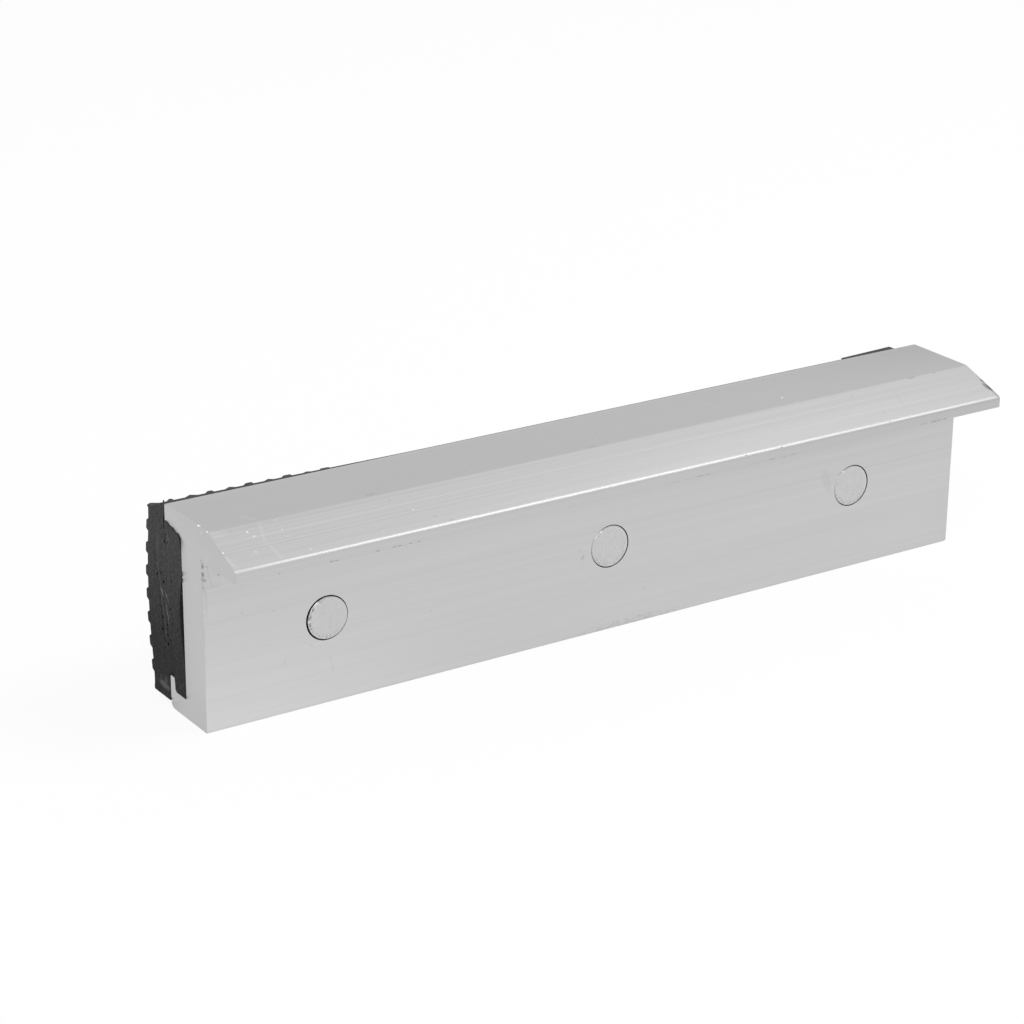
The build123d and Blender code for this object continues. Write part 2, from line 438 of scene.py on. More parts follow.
wearAndPaintedShade = {
    # bites out of the edges: place, and half the size along each axis in millimetres
    "bites": [
        (onTip(-67.2, 30.5), (0.12, 0.2, 0.3)),
        (onTip(-58.3, 28.3), (0.45, 0.25, 0.28)), (onTip(-50.6, 28.3), (0.4, 0.25, 0.26)),
        (onTip(-47.5, 28.3), (0.55, 0.28, 0.3)), (onTip(-46.6, 28.3), (0.28, 0.2, 0.26)),
        (onTip(-44.3, 28.3), (0.3, 0.2, 0.2)), (onTip(-43.1, 28.3), (0.2, 0.2, 0.2)),
        (onTip(10.9, 28.3), (1.3, 0.2, 0.2)), (onTip(24.6, 28.35), (0.5, 0.2, 0.2)),
        (onTip(29.8, 28.35), (0.6, 0.2, 0.18)), (onTip(59.0, 28.3), (1.0, 0.2, 0.2)),
        (onTip(61.3, 28.25), (1.1, 0.3, 0.32)), (onTip(63.4, 28.3), (0.7, 0.25, 0.25)),
        (onTip(50.6, 30.5), (0.5, 0.25, 0.2)), (onTip(51.6, 30.52), (0.3, 0.25, 0.18)),
        (onTip(54.9, 30.5), (0.25, 0.3, 0.22)),
        (onWall(-65.6, -0.05), (0.3, 0.2, 0.25)), (onWall(-47.2, -0.05), (0.5, 0.2, 0.25)),
        (onWall(-38.2, -0.05), (0.45, 0.2, 0.2)), (onWall(-21.0, -0.05), (0.3, 0.15, 0.15)),
        (onWall(31.0, -0.05), (0.5, 0.15, 0.15)), (onWall(63.1, 0.0), (0.6, 0.2, 0.2)),
        (onWall(-75.1, 12.6), (0.22, 0.2, 0.3)), (onWall(-75.1, 6.2), (0.2, 0.2, 0.25)),
    ],
    # crumbs of metal that the saw and the handling left: place and half size
    "crumbs": [
        (onTop(-74.9, 0.9), 0.2), (onTop(-74.7, 0.6), 0.12), (onTop(-75.0, -2.1), 0.15),
        ((-75.05, fromBack(-0.4), 33.3), 0.13), (onSlope(-74.9, -5.6), 0.11), (onSlope(-74.9, -6.7), 0.16),
        (onSlope(-69.2, -3.9), 0.15), (onSlope(-68.6, -4.9), 0.17), (onSlope(-63.9, -4.8), 0.13),
        (onSlope(-63.8, -2.8), 0.1), (onSlope(-67.1, -5.9), 0.09),
        (onSlope(-63.7, -6.3), 0.09), (onSlope(-61.7, -9.6), 0.1), (onSlope(-41.9, -6.6), 0.1),
        (onSlope(-48.9, -9.3), 0.09), (onTip(19.9, 30.5), 0.16), (onTip(27.2, 30.5), 0.15),
        (onTop(-2.8, 0.4), 0.12), (onTop(36.2, 0.9), 0.13), (onTop(36.6, -2.2), 0.1),
    ],
    # dark marks: place along the jaw and height, or depth from the back face on slope and top, then half
    # the size both ways, turn in degrees and strength
    "wallMarks": [
        (-61.1, 8.9, 0.13, 0.6, 12, 0.07), (-53.0, 7.3, 0.12, 0.9, -12, 0.08),
        (-52.7, 5.9, 0.1, 0.6, 5, 0.11), (-34.5, 11.3, 0.25, 0.2, 0, 0.08),
        (7.5, 5.9, 0.12, 0.5, 15, 0.09), (7.3, 7.0, 0.4, 0.12, -30, 0.06),
        (-5.2, 14.0, 0.3, 0.5, 35, 0.14), (-5.7, 15.4, 0.2, 0.25, 0, 0.12),
        (-56.4, 10.5, 0.25, 0.18, 0, 0.12), (46.2, 17.2, 0.8, 2.2, -20, 0.05),
        (-63.0, 17.8, 0.15, 0.15, 0, 0.16), (-68.4, 18.7, 0.2, 0.15, 0, 0.14),
        (-72.15, 25.85, 0.26, 0.18, 0, 0.28), (-74.5, 25.3, 0.24, 0.26, 35, 0.28),
        (-74.95, 27.5, 0.1, 0.2, 0, 0.22), (-74.95, 26.1, 0.13, 0.24, 0, 0.3),
        (-74.9, 24.3, 0.1, 0.16, 0, 0.24), (-74.55, 23.5, 0.13, 0.2, 0, 0.2),
        (-74.4, 21.4, 0.12, 2.2, 0, 0.09), (-74.2, 27.5, 0.5, 0.1, 15, 0.14),
        (-73.2, 24.0, 1.4, 0.1, 0, 0.08), (31.0, 25.2, 0.3, 0.8, 0, 0.2),
    ],
    # on the slope, the marks at 75.0 and 74.85 are painted shade in the nicks at its right end
    "slopeMarks": [
        (56.1, -6.0, 0.10, 1.55, -10, 0.09), (75.0, -6.45, 0.35, 0.5, 30, 0.42),
        (74.85, -8.0, 0.45, 1.1, 22, 0.5), (62.0, -2.45, 0.9, 0.18, 0, 0.28),
        (67.0, -2.42, 0.5, 0.14, 0, 0.24), (44.2, -2.9, 0.5, 0.15, 0, 0.07),
        (47.8, -3.5, 0.3, 0.3, 0, 0.07), (51.0, -8.3, 0.25, 0.15, 30, 0.08),
        (-44.4, -3.8, 0.3, 0.12, 20, 0.12), (-39.2, -8.6, 0.3, 0.2, 0, 0.10),
        (-37.0, -10.0, 0.5, 0.12, 0, 0.12),
    ],
    "topMarks": [
        (-46.4, -1.6, 0.9, 0.4, 0, 0.10), (-67.7, -1.3, 0.4, 0.2, 20, 0.05),
        (-39.1, 7.0, 0.18, 0.18, 0, 0.10), (-26.3, 1.5, 0.14, 0.14, 0, 0.16),
        (-5.1, -2.0, 1.2, 0.14, 0, 0.14), (7.5, 4.0, 0.2, 0.2, 0, 0.10),
        (30.2, 4.3, 0.2, 0.2, 0, 0.08),
    ],
    # bright marks in the same form
    "topShines": [
        (-48.9, 3.6, 0.12, 2.2, 12, 0.05), (-67.2, -0.2, 0.5, 1.6, 25, 0.05),
        (23.9, 4.0, 0.14, 2.6, 15, 0.06),
    ],
    "slopeShines": [
        (-67.0, -4.4, 0.26, 2.3, -18, 0.06), (-67.0, -8.4, 0.3, 2.0, 8, 0.05),
        (-74.0, -3.0, 1.8, 0.7, 0, 0.05), (-74.7, -8.4, 0.35, 1.7, 14, 0.07),
    ],
}


def lump(place, size, seed, roughness=0.35):
    # an uneven grain: a ball squeezed to its size and roughened
    bpy.ops.mesh.primitive_ico_sphere_add(subdivisions=2, radius=mm)
    piece = bpy.context.object
    shift = Vector((seed * 7.3, seed * 3.1, 0))
    for vertex in piece.data.vertices:
        rough = 1 + roughness * noise.noise(vertex.co / mm * 1.4 + shift)
        vertex.co = Vector(v * s * rough for v, s in zip(vertex.co, size)) + Vector(place) * mm
    piece.select_set(False)
    return piece


def wallMark(x, z, wide, high, turn, strength):
    return (onWall(x, z), (wide, 1, high), (0, turn, 0), strength)


def flatMark(surface, x, depth, wide, deep, turn, strength):
    return (surface(x, depth), (wide, deep, 2), (0, 0, turn), strength)


def fineNoise(shader, along, across, detail=2.0):
    # streaks along the jaw: even over its length, fine across it
    return shader.clouds((along, across, across), detail) - 0.5


def partAt(x, y, z):
    # which of the extrusion's long faces a place lies on
    if z > extrusion["crest"][1] - 0.01:
        return "top"
    return "slope" if abs(z - onSlope(x, y - fromBack(0))[2]) < 0.01 else "wall"


def drawnMetal(name, shade, roughness):
    # the extruded faces: die lines along the jaw, soft bands, dirt and scratches
    shader = newShader("drawnAluminium_" + name)
    x, y, z = (shader.axis(letter) for letter in "XYZ")
    depth = y - fromBack(0)
    up = shader.facing("Z").above(0.5, 0.2)
    wallward = 1 - up
    slope = up * depth.below(extrusion["crest"][0], 0.1)
    top = up - slope
    drift = fineNoise(shader, 60, 60, 0) * 0.5
    wallLines = shader.profile(z + drift, 0, 28, [
        (7.9, 0.5, 0.44), (13.4, 0.5, 0.55), (15.7, 0.35, 0.62), (16.9, 0.3, 0.46),
        (18.1, 0.35, 0.30), (19.9, 0.3, 0.58), (21.2, 0.4, 0.44), (23.2, 1.2, 0.40),
    ]) * 0.22
    fine = shader.clouds((260, 900, 0.16), detail=2) - 0.5
    soft = shader.clouds((160, 900, 1.3), detail=2) - 0.5
    leftLow = x.below(-48, 56) * z.below(10, 24)
    rightHigh = x.above(25, 90) * z.above(22, 12)
    grain = shader.clouds((0.35, 0.35, 0.35), detail=2) - 0.5
    broken = shader.clouds((45, 900, 0.5), detail=2) - 0.5
    wallTone = wallLines + fine * 0.09 + soft * 0.08 + broken * 0.05 + leftLow * 0.125
    # painted shade on the wall's top under the flange, and along its bottom edge
    wallTone = wallTone - rightHigh * 0.055 - z.above(24.5, 4) * 0.015 - z.below(0.4, 0.6) * 0.03
    slopeLines = shader.profile(depth + drift * 0.2, -10.6, -2.3, [
        (-9.3, 0.2, 0.55), (-8.2, 0.3, 0.45), (-7.5, 0.18, 0.60), (-6.8, 0.25, 0.64), (-6.3, 0.2, 0.44),
        (-5.0, 0.14, 0.88), (-4.1, 0.2, 0.44), (-3.4, 0.16, 0.62), (-2.7, 0.14, 0.60),
    ]) * 0.25
    slopeFine = shader.clouds((90, 0.10, 900), detail=3) - 0.5
    slopeSoft = shader.clouds((200, 0.8, 900), detail=1) - 0.5
    patchy = shader.clouds((30, 6, 900), detail=2)
    nearSaw = x.below(-52, 30) * 0.14
    slopeTone = slopeLines + slopeFine * (patchy * 0.34 + 0.09 + nearSaw) + slopeSoft * 0.07
    slopeTone = slopeTone + x.above(20, 100) * 0.055 - 0.055
    topFine = shader.clouds((70, 0.14, 900), detail=2) - 0.5
    topSoft = shader.clouds((26, 3, 900), detail=3) - 0.5
    topTone = topFine * 0.03 + topSoft * 0.04 + depth.above(10.6, 0.8) * 0.03
    topTone = topTone - x.above(30, 120) * 0.03 + x.below(-40, 60) * 0.012
    # the tip's face: painted shade towards its top, which dims the highlight on the rounding, and a painted
    # highlight along its low edge
    tipPlane = wallward * depth.below(-8, 1)
    lowEdgeGlint = z.below(28.62, 0.14) * (x.above(-42, 6) * 0.03 + 0.02)
    tipTone = z.above(29.55, 0.5) * -0.03 + lowEdgeGlint - z.below(29.2, 0.5) * 0.012 - 0.03
    tipCrest = depth.below(-10.12, 0.06) * z.above(29.95, 0.1)
    tone = wallTone * wallward + slopeTone * slope + topTone * top + tipTone * tipPlane + grain * 0.03
    # painted shade on the crest of the tip's rounding, which dims its highlight
    tone = tone - tipCrest * crestShadeAndRoughness["crestPaintedShade"]
    # on the broken edge at each sawn end: a painted highlight on top at the left, painted shade beside the
    # slope at the right
    farEndPaintedShade = x.above(74.82, 0.08) * slope * 0.26 + x.above(74.9, 0.06) * top * 0.05
    nearEndPaintedHighlight = x.below(-74.86, 0.1) * top * depth.below(10.5, 1) * 0.16
    tone = tone - farEndPaintedShade + nearEndPaintedHighlight
    scratchAndShadePlaces = [
        *(wallMark(*mark) for mark in wearAndPaintedShade["wallMarks"]),
        *(flatMark(onSlope, *mark) for mark in wearAndPaintedShade["slopeMarks"]),
        *(flatMark(onTop, *mark) for mark in wearAndPaintedShade["topMarks"]),
    ]
    # painted shade in the nicks along the lower edge of the flange's tip: middle, half length and strength
    lowNickShade = [
        (-67.6, 0.25, 0.2), (-58.6, 0.4, 0.32), (-57.8, 0.25, 0.26), (-50.6, 0.3, 0.3), (-47.6, 0.35, 0.34),
        (-46.7, 0.3, 0.3), (-44.8, 0.2, 0.3), (-43.3, 0.2, 0.28), (10.4, 0.8, 0.2), (11.9, 0.5, 0.16),
        (25.2, 0.7, 0.18), (27.8, 0.5, 0.12), (29.7, 0.6, 0.18), (58.2, 0.8, 0.14), (60.5, 0.7, 0.34),
        (61.6, 0.4, 0.28), (62.9, 0.4, 0.24),
    ]
    scratchAndShadePlaces += [(onTip(at, 28.6), (half, 2, 0.13), (0, 0, 0), strong) for at, half, strong in lowNickShade]
    brightPlaces = [flatMark(onTop, *mark) for mark in wearAndPaintedShade["topShines"]]
    brightPlaces += [flatMark(onSlope, *mark) for mark in wearAndPaintedShade["slopeShines"]]
    # painted highlights where grains catch the light: place along the slope, depth, radius and strength
    glints = [
        (-69.2, -3.9, 0.22, 0.18), (-68.6, -4.9, 0.24, 0.22), (-63.9, -4.8, 0.2, 0.16),
        (-69.9, -7.7, 0.24, 0.16), (-63.8, -2.8, 0.16, 0.14), (-67.1, -5.9, 0.16, 0.12),
        (-63.7, -6.3, 0.16, 0.14), (-61.7, -9.6, 0.18, 0.14), (-41.9, -6.6, 0.18, 0.12),
        (-48.9, -9.3, 0.16, 0.12),
    ]
    brightPlaces += [flatMark(onSlope, at, back, r, r, 0, strong) for at, back, r, strong in glints]
    darker, lighter = (
        [mark for mark in places if partAt(*mark[0]) == name] for places in (scratchAndShadePlaces, brightPlaces)
    )
    tone = tone - shader.marks(darker) + shader.marks(lighter)
    # dirt caught in the saw marks under the flange, at the left edge, and painted shade under the flange
    # there
    ragged = shader.clouds((0.5, 3, 0.55), detail=3).above(0.5, 0.12)
    edgeLine = x.below(-74.62, 0.2) * z.above(23.2, 1.5) * z.below(28.2, 0.5) * (ragged * 0.32 + 0.05)
    lowLine = x.below(-74.8, 0.15) * z.above(10, 8) * ragged * 0.10
    slantAcross = shader.profile(x - (27.3 - z) * 0.236, -76, -71, [(-74.15, 0.16, 1.0)], 0.0)
    slantLine = slantAcross * z.above(23.6, 0.6) * z.below(27.6, 0.6) * 0.09
    underFlangeShade = x.below(-71.6, 1.6) * z.above(23.9, 0.4) * z.below(28.2, 1) * 0.025
    darkMarksAndPaintedLight = (edgeLine + lowLine + slantLine + underFlangeShade) * wallward
    # a smudge along the bottom edge, and dark grains on that edge, which run on over the bottom face
    wisps = shader.clouds((0.9, 5, 0.35), detail=3, turn=(0, -25, 0)).above(0.52, 0.2)
    smudge = shader.ellipse(onWall(5, 0), (12.5, 1, 1.6)).below(0.8, 0.5) * wisps * 0.14
    lowEdge = shader.clouds((2.2, 5, 5), detail=3).above(0.5, 0.1) * z.below(0.15, 0.12) * wallward * 0.16
    tone = tone - darkMarksAndPaintedLight - smudge - lowEdge + 1.0
    rough = shader.clouds((40, 1.2, 1.2), detail=2) * 0.1 + (roughness - 0.05)
    rough = rough + tipCrest * (x.above(20, 60) * 0.1 + crestShadeAndRoughness["crestRougher"])
    height = fine * 0.5 + slopeFine * slope * 0.5 + 0.5
    return shader.finish(tone * shade, rough, shader.bump(height, 0.004), metal=1.0)


magnets = {
    # by how much hole and disc are moved along x and z, how far the disc stands off its hole's middle,
    # how much it is raised, its rounding, and how strong the darker patches and painted highlights on its rim
    # are
    "magnet_left": {
        "moved": (0.24, 0.18), "shift": (0.17, -0.08), "size": 0.975, "hole": 0.975, "raised": 0.42,
        "rounding": 0.3, "dome": 0.05, "darkMarksAndPaintedLight": 0.5,
    },
    "magnet_centre": {
        "moved": (0.38, 0.21), "shift": (0.03, -0.04), "size": 0.995, "hole": 0.975, "raised": 0.14,
        "rounding": 0.2, "dome": 0.03, "darkMarksAndPaintedLight": 0.08,
    },
    "magnet_right": {
        "moved": (0.25, 0.21), "shift": (0.03, -0.04), "size": 0.995, "hole": 0.975, "raised": 0.14,
        "rounding": 0.2, "dome": 0.03, "darkMarksAndPaintedLight": 0.08,
    },
}
magnetHoles = {
    # where each hole's dark ring fades: place and half size, in millimetres from the hole's centre
    "magnet_left": [
        (2.4, -3.0, 1.0, 0.9), (3.8, -1.0, 0.5, 0.8), (0.8, -3.8, 1.1, 0.6), (-0.6, 3.8, 1.0, 0.3),
    ],
    "magnet_centre": [(-3.75, 0.1, 0.5, 0.65), (1.3, -3.65, 0.9, 0.5)],
    "magnet_right": [(-3.75, 0.1, 0.5, 0.65), (1.3, -3.65, 0.9, 0.5)],
}
# how far from a hole's middle its dark edge is painted and its mesh is moved, and how deep the holes go
holeEdge = {"painted": 4.05, "moved": 4.1, "depth": 4.5}


def holeMiddle(node):
    low, high = (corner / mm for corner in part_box(node))
    return ((low.x + high.x) / 2, (low.z + high.z) / 2)


def holeShadeMetal(name):
    # the broken edge of the magnets' holes: painted black as shade, lighter in a few places where the ring
    # fades
    shader = newShader(name)
    places = []
    for node, fades in magnetHoles.items():
        middle = [at + by for at, by in zip(holeMiddle(node), magnets[node]["moved"])]
        for dx, dz, sizeX, sizeZ in fades:
            places.append((onWall(middle[0] + dx, middle[1] + dz), (sizeX, 3, sizeZ), (0, 0, 0), 0.3))
    patches = shader.clouds((1.2, 2, 1.2), detail=2)
    tone = shader.marks(places, 0.9) + patches * 0.16 + 0.06
    return shader.finish(tone, 0.5, metal=0.6)


def inHole(centre, normal):
    # the chamfer and wall of a magnet's hole
    near = lambda node: math.dist((centre.x, centre.z), holeMiddle(node)) < holeEdge["painted"]
    return fromBack(0) + 0.01 < centre.y < fromBack(holeEdge["depth"]) and any(map(near, magnetHoles))


def sawnMetal(name, shade, roughness):
    # the cut ends: even, a little darker to the bottom, with faint arcs from the saw
    shader = newShader(name)
    y, z = (shader.axis(letter) for letter in "YZ")
    arcs = shader.clouds((9, 0.3, 30), detail=2, turn=(8, 0, 0)) - 0.5
    blotches = shader.clouds((2, 2, 2), detail=3) - 0.5
    grain = shader.clouds((0.3, 0.3, 0.3), detail=1) - 0.5
    low = z.below(3, 12) * 0.07
    flange = (y - fromBack(0)).below(-3, 4) * 0.01
    specks = shader.cells((0.9, 0.9, 0.9)).below(0.10, 0.06) * 0.18
    # dirt on the corner with the wall, under the flange
    depth = y - fromBack(0)
    corner = depth.above(-0.3, 0.2) * depth.below(0.3, 0.2) * z.above(23.4, 1) * z.below(28.8, 0.5)
    specks = specks + shader.clouds((0.5, 0.5, 0.4), detail=3).above(0.5, 0.12) * corner * 0.3
    tone = arcs * 0.03 + blotches * 0.03 + grain * 0.03 - low - flange - specks + 1.0
    return shader.finish(tone * shade, roughness, shader.bump(arcs + 0.5, 0.004), metal=1.0)


# painted shade that dims the highlight on the tip's crest, and how much rougher the crest is
crestShadeAndRoughness = {"crestPaintedShade": 0.06, "crestRougher": 0.19}
aluminium = {
    "shade": 0.575, "roughness": 0.36,
    # the sawn ends are darker: partly their rougher cut, partly painted shade
    "sawnShade": 0.54, "sawnRoughness": 0.42,
    "crumbShade": 0.78, "crumbRoughness": 0.32,
}


def partFacing(centre, normal):
    if normal.z < 0.5:
        return "wall"
    return "slope" if centre.y < fromBack(extrusion["crest"][0]) else "top"


def worked(x, y, z):
    # the tip's rounding sits a little low and runs on past the right end, where the crest falls short and the
    # low edge is worn; the magnets' holes stand a little off the solid's
    depth = y - fromBack(0)
    down = extrusion["tipSag"] if depth < -10 and z > 30 else 0
    # the right end is cut a little out of square
    crestDepth, tipDepth = extrusion["crest"][0], extrusion["tip"][0]
    ahead = max(0, crestDepth - depth) / (crestDepth - tipDepth)
    behind = min(1, max(0, depth - crestDepth) / 14)
    further = (extrusion["tipBeyond"] + extrusion["crestShort"]) * ahead
    skewed = further - extrusion["crestShort"] * (1 - behind)
    beyond = skewed if x > extrusion["halfLength"] - 0.5 else 0
    corner = -extrusion["cornerOff"] if x > extrusion["halfLength"] - 0.2 and z < 0.2 else 0
    for node, look in magnets.items():
        middle = holeMiddle(node)
        if -0.01 < depth < 5 and math.dist((x, z), middle) < holeEdge["moved"]:
            shrunk = look["hole"] - 1
            moved = look["moved"]
            return (moved[0] + (x - middle[0]) * shrunk, 0, moved[1] + (z - middle[1]) * shrunk)
    return (beyond + corner, 0, -down)


def extrudedJaw():
    # the extrusion with its sawn edges broken and bites out of its edges
    piece = copyOfNode("jaw_body", "jawExtrusion")
    atEnd = lambda centre, normal: abs(normal.x) > 0.9 and abs(centre.x) > extrusion["halfLength"] - 0.1
    choose(piece, atEnd)
    bpy.ops.mesh.bevel(offset=extrusion["sawnBevel"] * mm, segments=2, affect="EDGES")
    leave(piece)
    nudge(piece, worked)
    cutters = join("bites", [lump(place, size, i) for i, (place, size) in enumerate(wearAndPaintedShade["bites"])])
    modify(piece, "BOOLEAN", object=cutters, operation="DIFFERENCE", solver="EXACT")
    bpy.data.objects.remove(cutters)
    piece.data.materials.clear()
    for part in ("wall", "slope", "top"):
        paint(
            piece, drawnMetal(part, aluminium["shade"], aluminium["roughness"]),
            lambda centre, normal: partFacing(centre, normal) == part,
        )
    paint(piece, sawnMetal("sawnAluminium", aluminium["sawnShade"], aluminium["sawnRoughness"]), atEnd)
    paint(piece, holeShadeMetal("paintedHoleShade"), inHole)
    smooth(piece, 25)
    return piece


def crumbsOnJaw():
    # loose grains of fresh metal, most of them near the sawn end
    grains = [
        lump(place, (size, size * 0.8, size * 0.6), i) for i, (place, size) in enumerate(wearAndPaintedShade["crumbs"])
    ]
    piece = join("metalCrumbs", grains)
    shader = newShader("freshAluminium")
    tone = shader.clouds((0.2, 0.2, 0.2)) * 0.2 + (aluminium["crumbShade"] - 0.1)
    piece.data.materials.append(shader.finish(tone, aluminium["crumbRoughness"], metal=1.0))
    smooth(piece, 40)
    return piece


body = extrudedJaw()
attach(body, "root")
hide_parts("jaw_body")
crumbs = crumbsOnJaw()
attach(crumbs, "root")
print("extrusion ready", len(body.data.polygons), "faces,", len(crumbs.data.polygons), "on the crumbs")


# Magnets

nickel = {"shade": 0.58, "roughness": 0.42}


def nickelPlate(name, centre, radius, darkMarksAndPaintedLight):
    shader = newShader(name)
    fromMiddle = shader.ellipse(centre, (radius, 900, radius))
    blotches = shader.clouds((0.9, 2, 1.3), detail=2) - 0.5
    mottle = shader.clouds((0.3, 0.3, 0.3), detail=2) - 0.5
    specks = shader.cells((0.62, 0.62, 0.62)).below(0.22, 0.16) * 0.12
    glint = shader.marks([((centre[0] - 1.95, centre[1], centre[2] + 3.0), (0.26, 3, 0.2), (0, 0, 0), 0.5)])
    leftSide = shader.axis("X").below(centre[0] - 1.2, 2.4)
    lowSide = shader.axis("Z").below(centre[2] - 1.4, 1.6)
    upperLeft = leftSide * shader.axis("Z").above(centre[2] - 1.6, 1.2)
    # the rim is darker in patches on its upper left with painted highlights among them, and dirty below
    rimPatches = shader.clouds((0.25, 0.25, 0.6), detail=2, turn=(0, 35, 0))
    rimDarkened = rimPatches.below(0.5, 0.14) * fromMiddle.above(0.86, 0.05) * upperLeft * darkMarksAndPaintedLight
    lit = rimPatches.above(0.56, 0.08) * fromMiddle.above(0.86, 0.05) * upperLeft * darkMarksAndPaintedLight * 0.3
    grime = shader.clouds((0.35, 0.35, 0.35), detail=2).above(0.55, 0.12) * fromMiddle.above(0.74, 0.2)
    grime = grime * lowSide * 0.22
    rimLight = fromMiddle.above(0.86, 0.08) * (1 - leftSide) * 0.05
    tone = blotches * 0.13 + mottle * 0.15 + rimLight + lit + glint - specks - grime - rimDarkened + 1.0
    rough = blotches * 0.15 + nickel["roughness"]
    height = blotches + 0.5
    return shader.finish(tone * nickel["shade"], rough, shader.bump(height, 0.008), metal=1.0)


def discMagnet(node, look):
    # the disc with its face drawn in and its rim rounded over
    piece = copyOfNode(node, node + "Disc")
    low, high = (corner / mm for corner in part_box(node))
    middle = ((low.x + high.x) / 2, (low.z + high.z) / 2)
    shift = [look["moved"][k] + look["shift"][k] for k in (0, 1)]
    centre = (middle[0] + shift[0], low.y, middle[1] + shift[1])
    choose(piece, lambda place, normal: normal.y < -0.9 and place.y < low.y + 0.1)
    bpy.ops.mesh.inset(thickness=look["rounding"] * mm)
    bpy.ops.transform.translate(value=(0, -look["dome"] * mm, 0))
    leave(piece)
    nudge(piece, lambda x, y, z: (
        (x - middle[0]) * (look["size"] - 1) + shift[0], -(look["raised"] - look["dome"]),
        (z - middle[1]) * (look["size"] - 1) + shift[1],
    ))
    radius = (high.x - low.x) / 2
    piece.data.materials.append(nickelPlate("nickelPlate_" + node, centre, radius, look["darkMarksAndPaintedLight"]))
    smooth(piece, 40)
    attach(piece, "root")
    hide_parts(node)


for node, look in magnets.items():
    discMagnet(node, look)
print("magnets ready")


# Rubber strip

strip = {
    # heights above the bottom and depths from the aluminium's back face, in millimetres
    "keyBack": 6.6, "lipFace": 11.8, "groundFloor": 16.5, "studTop": 17.17,
    "bottom": 1.0, "top": 32.5, "crease": 15.3, "fall": 0.45,
    "mouldedEnd": 74.7, "rim": 0.4, "sawnEnd": -75.0, "shorter": 0.6, "shortFrom": 69.0, "shortRun": 5.0,
    "floorCut": 0.002,       # how far below the groove floor the solid's own studs are cut off
    # the sawn end, sprung out of line: a long gentle lean, then a sharper bend
    "leanStart": -25.0, "leanEnd": -56.0, "leanOut": 0.6, "lift": 0.32,
    "slitTop": 31.2, "frontSunk": 0.25, "sinkFrom": -30.0, "sinkRun": 15.0, "ledgeStart": 62.3,
    "bendStart": -54.0, "bendPower": 1.5, "sliceStep": 2.0,
    "rings": [2.5] * 12 + [1.0] * 19 + [0.5, 0.25, 0.25],
    "frontOut": 0.25, "bulge": 1.0, "bulgeCentre": 17.2, "bulgeReach": 12.5,
    "backShare": 0.6, "hollow": 1.27, "hollowCentre": 16.8, "hollowReach": 11.5, "hollowPower": 3.5,
    "lowLipTop": 5.0, "wornBelow": 3.4, "wornFrom": -71.0, "wornShare": 0.85,
    # the ridge that the saw pushed up along the top of the cut
    "burrRun": 0.9, "burrBack": 34.15, "burrFront": 31.63,
}


def eased(share):
    share = min(1, max(0, share))
    return share * share * (3 - 2 * share)


def bent(x, y, z):
    # how the strip's sawn end has sprung off its channel: less at its back than at its front
    leaning = eased((strip["leanStart"] - x) / (strip["leanStart"] - strip["leanEnd"]))
    bending = max(0, (strip["bendStart"] - x) / (strip["bendStart"] - strip["sawnEnd"])) ** strip["bendPower"]
    bulge = max(0, 1 - ((z - strip["bulgeCentre"]) / strip["bulgeReach"]) ** 2)
    hollow = max(0, 1 - ((z - strip["hollowCentre"]) / strip["hollowReach"]) ** 2) ** strip["hollowPower"]
    edges = strip["leanOut"] * leaning + strip["frontOut"] * bending
    places = [strip["keyBack"], strip["lipFace"], strip["groundFloor"]]
    offLip = eased((z - strip["lowLipTop"] + 1.5) / 3)
    moves = [
        strip["hollow"] * hollow * bending, strip["backShare"] * edges * offLip,
        edges + strip["bulge"] * bulge * bending,
    ]
    depth = y - fromBack(0)
    if depth <= places[1]:
        along = max(0, (depth - places[0]) / (places[1] - places[0]))
        out = moves[0] + (moves[1] - moves[0]) * along
    else:
        along = min(1, (depth - places[1]) / (places[2] - places[1]))
        out = moves[1] + (moves[2] - moves[1]) * along
    # at its very top the strip still touches the aluminium
    if depth < places[1] + 0.5:
        out *= 1 - eased((z - strip["slitTop"]) / (strip["top"] - strip["slitTop"]))
    # the top studs are lifted there as well, and sit low along the rest of the strip
    nearTop = eased(z - strip["top"] + 2)
    outermost = max(0, depth - strip["groundFloor"]) / (strip["studTop"] - strip["groundFloor"])
    sunken = 1 - eased((strip["sinkFrom"] - x) / strip["sinkRun"]) if x < strip["ledgeStart"] else 0
    front = eased((depth - strip["crease"] - 0.2) / 0.6)
    # the lowest studs are worn off at the sawn corner
    worn = eased(strip["wornBelow"] - z) * eased((strip["wornFrom"] - x) / 2) * strip["wornShare"]
    out -= worn * max(0, depth - strip["groundFloor"])
    short = strip["shorter"] * eased((x - strip["shortFrom"]) / strip["shortRun"])
    risen = strip["lift"] * leaning * outermost * nearTop
    return (-short, out, risen - strip["frontSunk"] * sunken * front * nearTop)


def stripBody():
    # the strip without its studs, its sawn end drawn out afresh in rings that can bend
    piece = copyOfNode("rubber_pad", "rubberStrip")
    cut(piece, (strip["leanStart"] * mm, 0, 0), (-1, 0, 0))
    cut(piece, (0, (fromBack(strip["groundFloor"]) - strip["floorCut"]) * mm, 0), (0, 1, 0))
    atCut = lambda centre, normal: normal.x < -0.9 and centre.x < strip["leanStart"] + 0.01
    stretchOut(piece, atCut, [(-step, 0, 0) for step in strip["rings"]])
    height = strip["bottom"] + strip["sliceStep"]
    while height < strip["top"]:
        choose(piece, lambda centre, normal: centre.x < strip["leanStart"])
        bpy.ops.mesh.bisect(plane_co=(0, 0, height * mm), plane_no=(0, 0, 1), threshold=bisectReach)
        leave(piece)
        height += strip["sliceStep"]
    return piece


# Diamond studs

studs = {
    "pitch": 3.42, "angle": 30.0, "floor": 0.95, "flank": 0.3, "height": 0.67, "root": 0.05,
    "crestBevel": 0.07, "firstInset": 2.0, "firstHeight": 31.0,
    "sag": 0.35, "sagStart": -30.0,      # the rows run lower towards the sawn end
    "uneven": 0.03,
}


